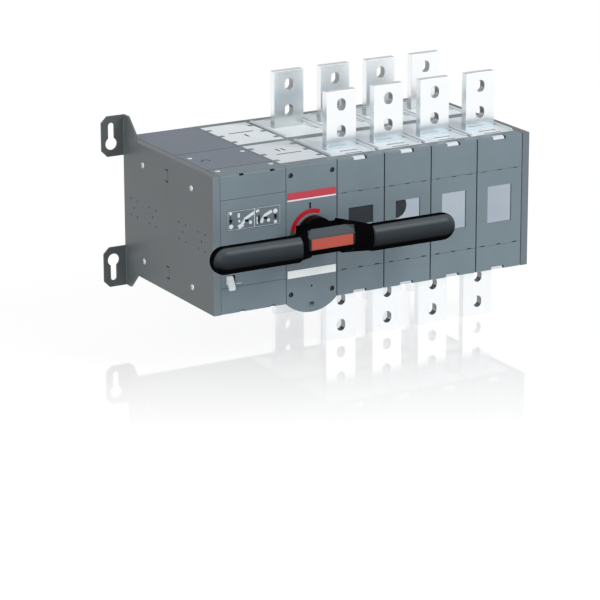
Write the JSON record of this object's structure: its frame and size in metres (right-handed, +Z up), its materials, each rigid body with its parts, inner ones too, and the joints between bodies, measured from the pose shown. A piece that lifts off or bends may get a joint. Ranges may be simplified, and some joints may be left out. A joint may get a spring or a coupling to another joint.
{
  "type": "motorized changeover switch",
  "caption": "Motorized changeover switch with poles side by side in two rows, a two-armed front handle, flat terminal bars above and below, and eared side plates.",
  "frame": {"origin": "middle of the mounting plane at the back of the body, at the height of the handle's axis", "axes": "+X along the row of poles, from the motor box to the last pole; +Y into the mounting panel; +Z up"},
  "size_m": [0.6107, 0.362, 0.377],
  "materials": {
    "dark_grey_plastic": "satin moulded thermoplastic",
    "grey_sheet_steel": "folded steel sheet, powder coated",
    "light_grey_plastic": "satin moulded thermoplastic",
    "tinned_copper": "tin plated copper bar",
    "zinc_plated_steel": "bright zinc plating",
    "motor_can_steel": "drawn steel can",
    "bearing_bronze": "sintered bronze",
    "black_plastic": "black moulding with a soft sheen",
    "orange_red_plastic": "orange-red moulding",
    "circuit_board": "green solder mask",
    "clear_window": "clear polycarbonate pane",
    "red_print": "red band, bare of any name",
    "dial_print": "red and green arc",
    "white_label": "blank white label",
    "pictogram_label": "grey label with plain arrows"
  },
  "bodies": {
    "switch_body": {"motor_base": "dark_grey_plastic", "motor_front_cover": "dark_grey_plastic", "motor_top_cover": "dark_grey_plastic", "terminal_flap": "dark_grey_plastic", "mechanism_frame": "dark_grey_plastic", "mechanism_cover": "dark_grey_plastic", "pole_housing_front_1": "dark_grey_plastic", "pole_housing_front_2": "dark_grey_plastic", "pole_housing_front_3": "dark_grey_plastic", "pole_housing_front_4": "dark_grey_plastic", "pole_housing_rear_1": "dark_grey_plastic", "pole_housing_rear_2": "dark_grey_plastic", "pole_housing_rear_3": "dark_grey_plastic", "pole_housing_rear_4": "dark_grey_plastic", "pole_cover_1": "dark_grey_plastic", "pole_cover_2": "dark_grey_plastic", "pole_cover_3": "dark_grey_plastic", "pole_cover_4": "dark_grey_plastic", "left_side_plate": "grey_sheet_steel", "right_side_plate": "grey_sheet_steel", "gear_plate": "grey_sheet_steel", "mechanism_lid_front": "light_grey_plastic", "mechanism_lid_rear": "light_grey_plastic", "chamber_lids_front": "light_grey_plastic", "chamber_lids_rear": "light_grey_plastic", "terminal_bars_front_top": "tinned_copper", "terminal_bars_front_bottom": "tinned_copper", "terminal_bars_rear_top": "tinned_copper", "terminal_bars_rear_bottom": "tinned_copper", "side_plate_screws": "zinc_plated_steel", "top_cover_screws": "zinc_plated_steel", "cover_screws": "zinc_plated_steel", "tie_rods": "zinc_plated_steel", "arc_splitters": "zinc_plated_steel", "snap_springs": "zinc_plated_steel", "electric_motor": "motor_can_steel", "shaft_bush": "bearing_bronze", "terminal_block": "black_plastic", "control_board": "circuit_board", "contact_windows": "clear_window", "red_band": "red_print", "dial_ring": "dial_print", "label_plate": "white_label", "pictogram_plate": "pictogram_label"},
    "handle": {"handle_grip": "black_plastic", "handle_hub": "black_plastic", "handle_screw": "zinc_plated_steel", "handle_shaft": "zinc_plated_steel", "output_gear": "zinc_plated_steel", "shaft_bevels": "zinc_plated_steel"},
    "padlock_slide": {"padlock_slide": "orange_red_plastic"},
    "lock_clip": {"lock_clip": "light_grey_plastic"},
    "rotor_i": {"rotor_rear": "black_plastic", "moving_contacts_rear": "tinned_copper", "rotor_bevel_rear": "zinc_plated_steel"},
    "rotor_ii": {"rotor_front": "black_plastic", "moving_contacts_front": "tinned_copper", "rotor_bevel_front": "zinc_plated_steel"},
    "idler": {"idler_gear": "zinc_plated_steel"},
    "motor_shaft": {"motor_pinion": "zinc_plated_steel"}
  },
  "joints": [
    {"name": "handle_turn", "type": "hinge", "parent": "switch_body", "child": "handle", "pos_m": [-0.10675, -0.281, 0], "axis": [0, 1, 0], "range_deg": [-90, 90]},
    {"name": "padlock_pull", "type": "slide", "parent": "handle", "child": "padlock_slide", "axis": [0, -1, 0], "range_m": [0, 0.014]},
    {"name": "lock_clip_pull", "type": "slide", "parent": "switch_body", "child": "lock_clip", "axis": [0, -1, 0], "range_m": [0, 0.012]},
    {"name": "rotor_i_turn", "type": "hinge", "parent": "switch_body", "child": "rotor_i", "pos_m": [-0.0645, -0.069, 0], "axis": [1, 0, 0], "range_deg": [-45, 45]},
    {"name": "rotor_ii_turn", "type": "hinge", "parent": "switch_body", "child": "rotor_ii", "pos_m": [-0.0645, -0.212, 0], "axis": [1, 0, 0], "range_deg": [-45, 45]},
    {"name": "idler_turn", "type": "hinge", "parent": "switch_body", "child": "idler", "pos_m": [-0.15475, -0.263, 0], "axis": [0, 1, 0], "range_deg": [-270, 270]},
    {"name": "motor_shaft_turn", "type": "hinge", "parent": "switch_body", "child": "motor_shaft", "pos_m": [-0.18225, -0.257, 0], "axis": [0, 1, 0], "range_deg": [-720, 720]}
  ],
  "couplings": [
    {"joint": "rotor_i_turn", "follows": "handle_turn", "ratio": 0.5},
    {"joint": "rotor_ii_turn", "follows": "handle_turn", "ratio": 0.5},
    {"joint": "idler_turn", "follows": "handle_turn", "ratio": -3},
    {"joint": "motor_shaft_turn", "follows": "handle_turn", "ratio": 8}
  ]
}
